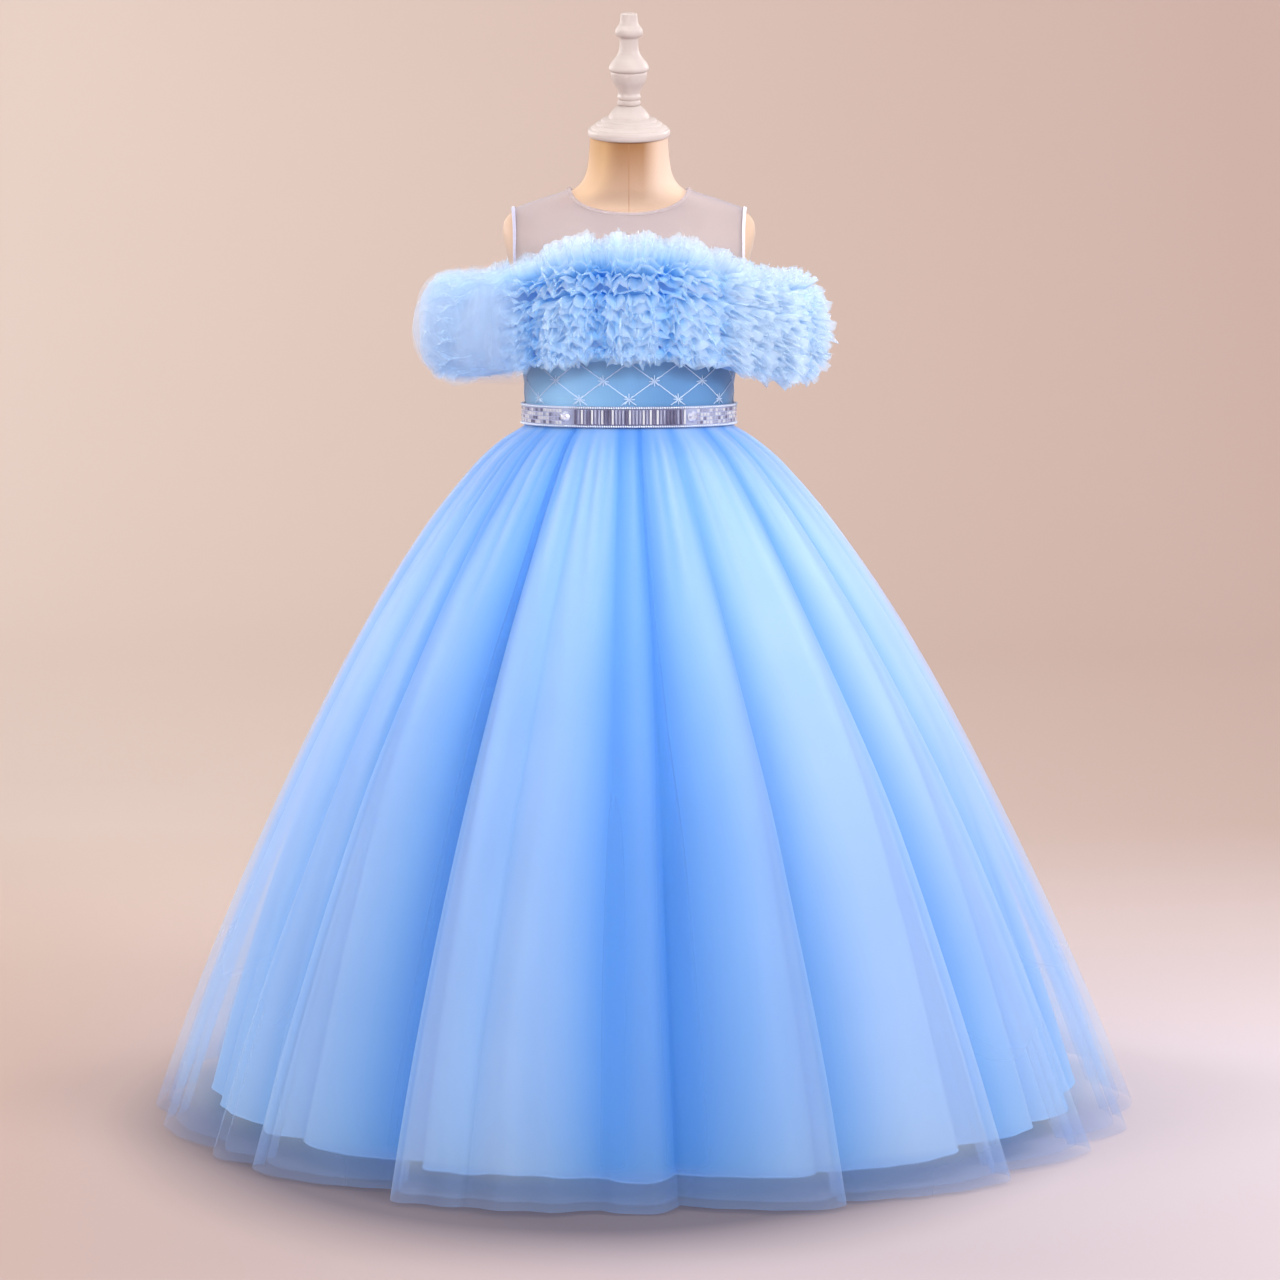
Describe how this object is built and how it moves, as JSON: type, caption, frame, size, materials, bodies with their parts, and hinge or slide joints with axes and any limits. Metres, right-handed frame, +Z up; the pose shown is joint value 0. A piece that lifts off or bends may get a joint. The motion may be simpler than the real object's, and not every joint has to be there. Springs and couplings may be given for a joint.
{
  "type": "flower girl wedding dress on a dress form",
  "caption": "Child's floor-length tulle ball gown with a sheer yoke, pleated off-shoulder ruffles, trellis bodice and jewelled belt, standing on a limbless dress form.",
  "frame": {"origin": "on the floor, at the centre of the dress form's base, under its pole", "axes": "+Z is up, -Y is the front of the gown, +X is the viewer's right when the front is seen (the wearer's left)"},
  "size_m": [0.9914, 0.9852, 1.0984],
  "materials": {
    "painted_wood": "white-painted turned wood, satin sheen",
    "form_jersey": "cream jersey over a moulded form, matte",
    "satin": "sky-blue satin",
    "tulle": "sheer sky-blue tulle",
    "pleated_tulle": "finely pleated sky-blue tulle",
    "illusion_mesh": "sheer pale mesh",
    "binding": "pale satin bias binding",
    "jewelled_belt": "satin belt set with clear stones",
    "crystal": "clear cut crystal",
    "zip_tape": "woven nylon tape",
    "zip_metal": "pale blue enamel"
  },
  "bodies": {
    "gown_and_form": {"form_base": "painted_wood", "form_pole": "painted_wood", "form_torso": "form_jersey", "form_cap": "painted_wood", "form_finial": "painted_wood", "bodice_front": "satin", "bodice_back_left": "satin", "bodice_back_right": "satin", "yoke_front": "illusion_mesh", "yoke_back_left": "illusion_mesh", "yoke_back_right": "illusion_mesh", "neck_binding": "binding", "armhole_binding_left": "binding", "armhole_binding_right": "binding", "belt_band": "jewelled_belt", "belt_stone_left": "crystal", "belt_stone_right": "crystal", "zip_tape": "zip_tape", "zip_slider": "zip_metal", "skirt_lining": "satin", "skirt_tulle": "tulle", "shoulder_band": "satin", "ruffle_top_frill": "pleated_tulle", "ruffle_row_1": "pleated_tulle", "ruffle_row_2": "pleated_tulle", "ruffle_row_3": "pleated_tulle", "ruffle_row_4": "pleated_tulle", "ruffle_row_5": "pleated_tulle"},
    "pull_tab": {"zip_pull": "zip_metal"}
  },
  "joints": [
    {"name": "zip_pull_swing", "type": "hinge", "parent": "gown_and_form", "child": "pull_tab", "pos_m": [0, 0.0576, 0.9017], "axis": [1, 0, 0], "range_deg": [0, 150]}
  ]
}
